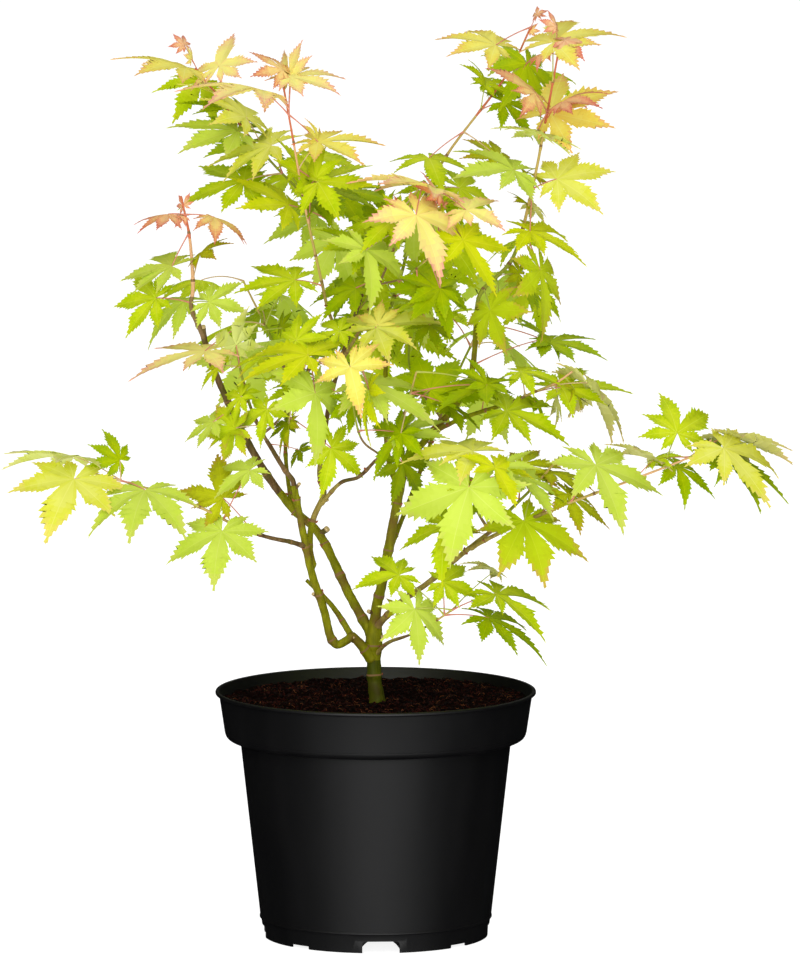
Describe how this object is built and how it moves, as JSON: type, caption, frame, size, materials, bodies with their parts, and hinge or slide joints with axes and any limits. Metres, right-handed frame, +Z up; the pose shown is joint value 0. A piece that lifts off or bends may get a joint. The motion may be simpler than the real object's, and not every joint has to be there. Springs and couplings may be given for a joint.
{
  "type": "potted plant",
  "caption": "Young Japanese maple in a round black nursery pot: short trunk, spreading green boughs and lobed yellow-green spring leaves.",
  "frame": {"origin": "on the ground under the middle of the whole plant's bounding box; the pot's axis stands 17 mm to -X and 25 mm to -Y of it", "axes": "+Z up; +X to the right of the plant and -Y to its front, the side with the low right bough"},
  "size_m": [0.4728, 0.2725, 0.551],
  "materials": {
    "pot": "satin black polypropylene",
    "soil": "moist fibrous potting peat",
    "bark": "smooth green young bark",
    "foliage": "thin matt leaf"
  },
  "bodies": {
    "root": {"pot": "pot", "soil": "soil", "trunk": "bark", "bough_left_fork": "bark", "bough_left_crook": "bark", "bough_left_riser": "bark", "snag_left": "bark", "bough_left_inner": "bark", "bough_left_arm": "bark", "bough_left_leader": "bark", "bough_middle": "bark", "bough_centre": "bark", "bough_centre_front": "bark", "bough_upper_left": "bark", "bough_centre_top": "bark", "bough_right": "bark", "bough_right_leader": "bark", "bough_inner_right": "bark", "bough_right_reach": "bark", "bough_low_right": "bark", "bough_right_arm": "bark", "bough_low_front": "bark", "bough_back_left": "bark", "bough_back_right": "bark", "leaves_left_arm": "foliage", "leaves_left_inner": "foliage", "leaves_left_crest": "foliage", "leaves_upper_left": "foliage", "leaves_upper_inner": "foliage", "leaves_centre_top": "foliage", "leaves_centre_front": "foliage", "leaves_upper_right": "foliage", "leaves_crest_right": "foliage", "leaves_right": "foliage", "leaves_right_arm": "foliage", "leaves_low_right": "foliage", "leaves_low_front": "foliage", "leaves_back_left": "foliage", "leaves_back_right": "foliage"}
  },
  "joints": []
}
